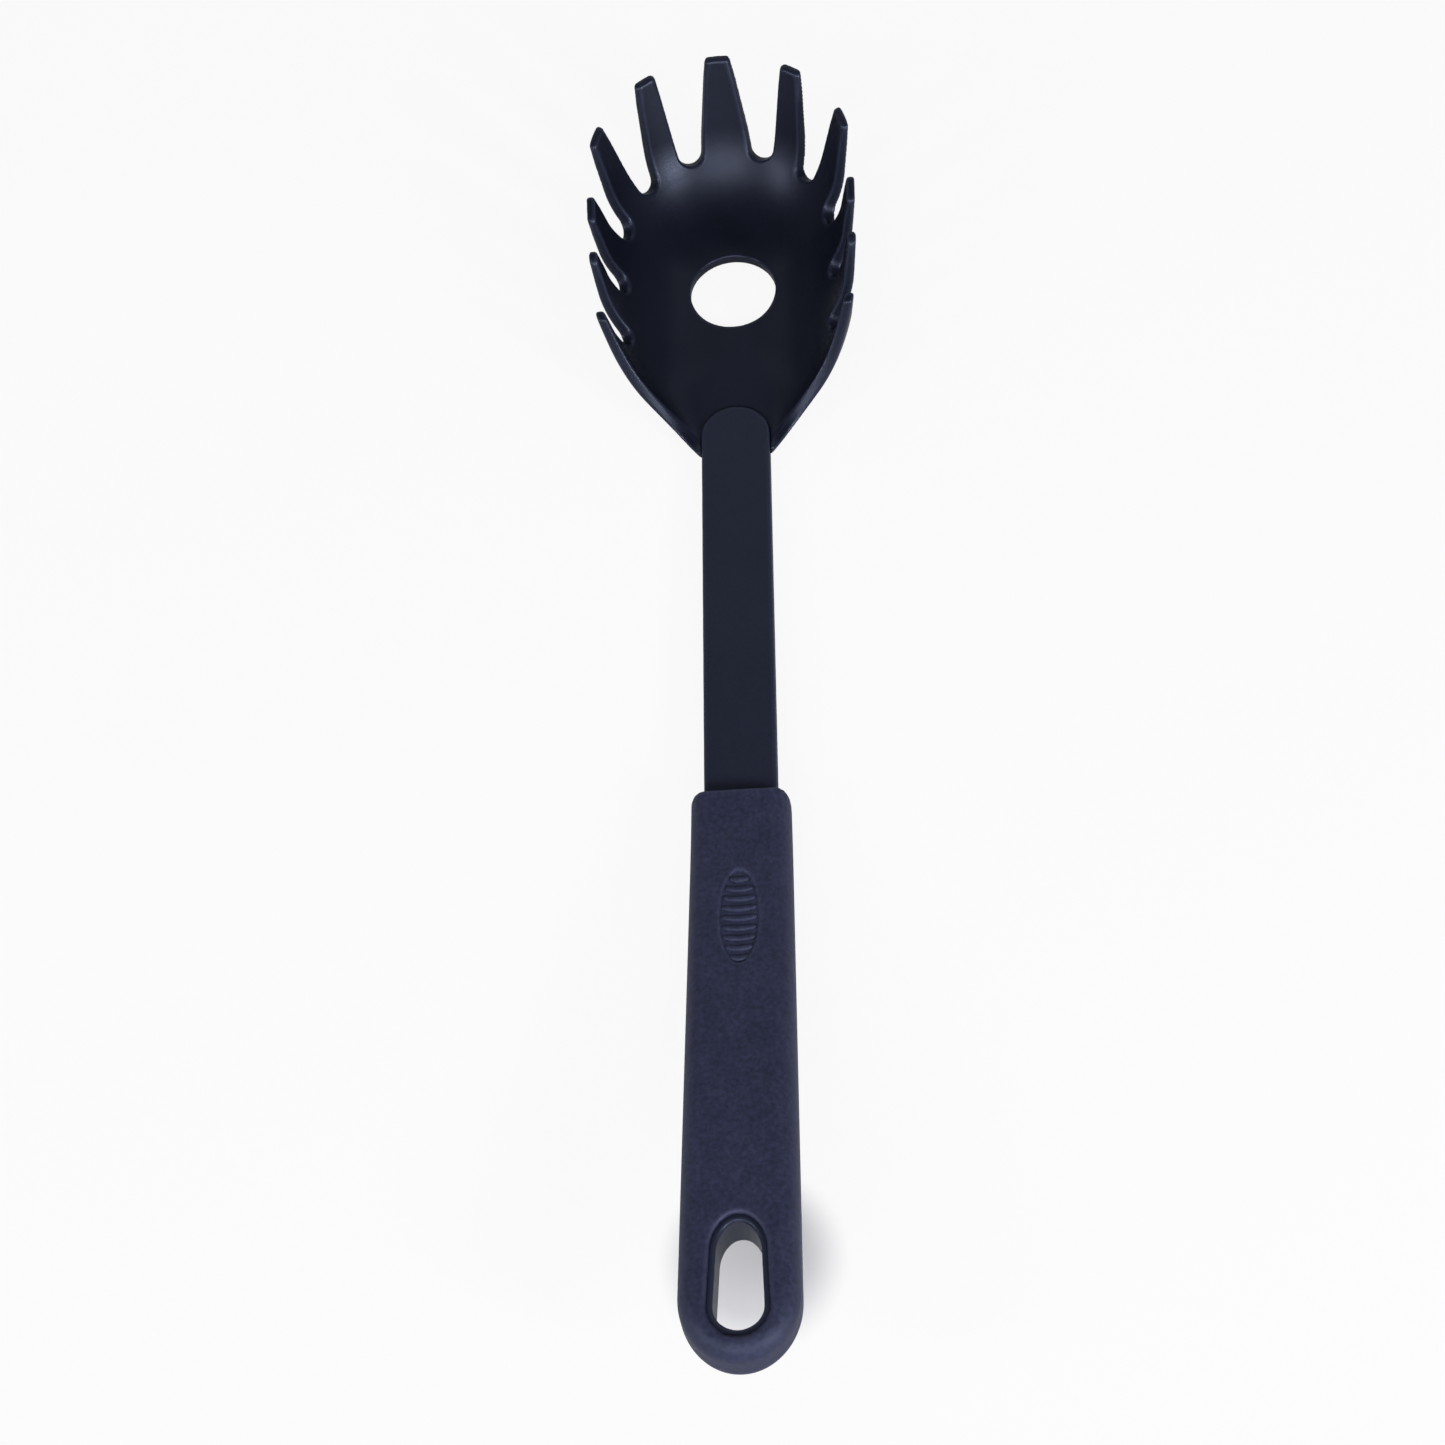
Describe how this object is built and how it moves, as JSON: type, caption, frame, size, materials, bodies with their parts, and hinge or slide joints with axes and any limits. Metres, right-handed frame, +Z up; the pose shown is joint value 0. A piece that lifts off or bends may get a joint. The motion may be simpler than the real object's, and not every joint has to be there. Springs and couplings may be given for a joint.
{
  "type": "pasta server",
  "caption": "Long-handled pasta server with a toothed bowl, a round portion hole in its floor, a flat stem and a sleeve grip with a hanging slot.",
  "frame": {"origin": "centre of the bounding box in X and Y, on the table the server lies on", "axes": "+Y from the butt of the grip to the front tooth, +Z up out of the bowl, +X to the right; symmetric about X = 0"},
  "size_m": [0.0678, 0.3353, 0.0376],
  "materials": {
    "bowl_nylon": "satin",
    "stem_nylon": "satin",
    "grip_plastic": "matte, fine grain"
  },
  "bodies": {
    "root": {"server_head": "bowl_nylon", "stem_core": "stem_nylon", "handle_grip": "grip_plastic"}
  },
  "joints": []
}
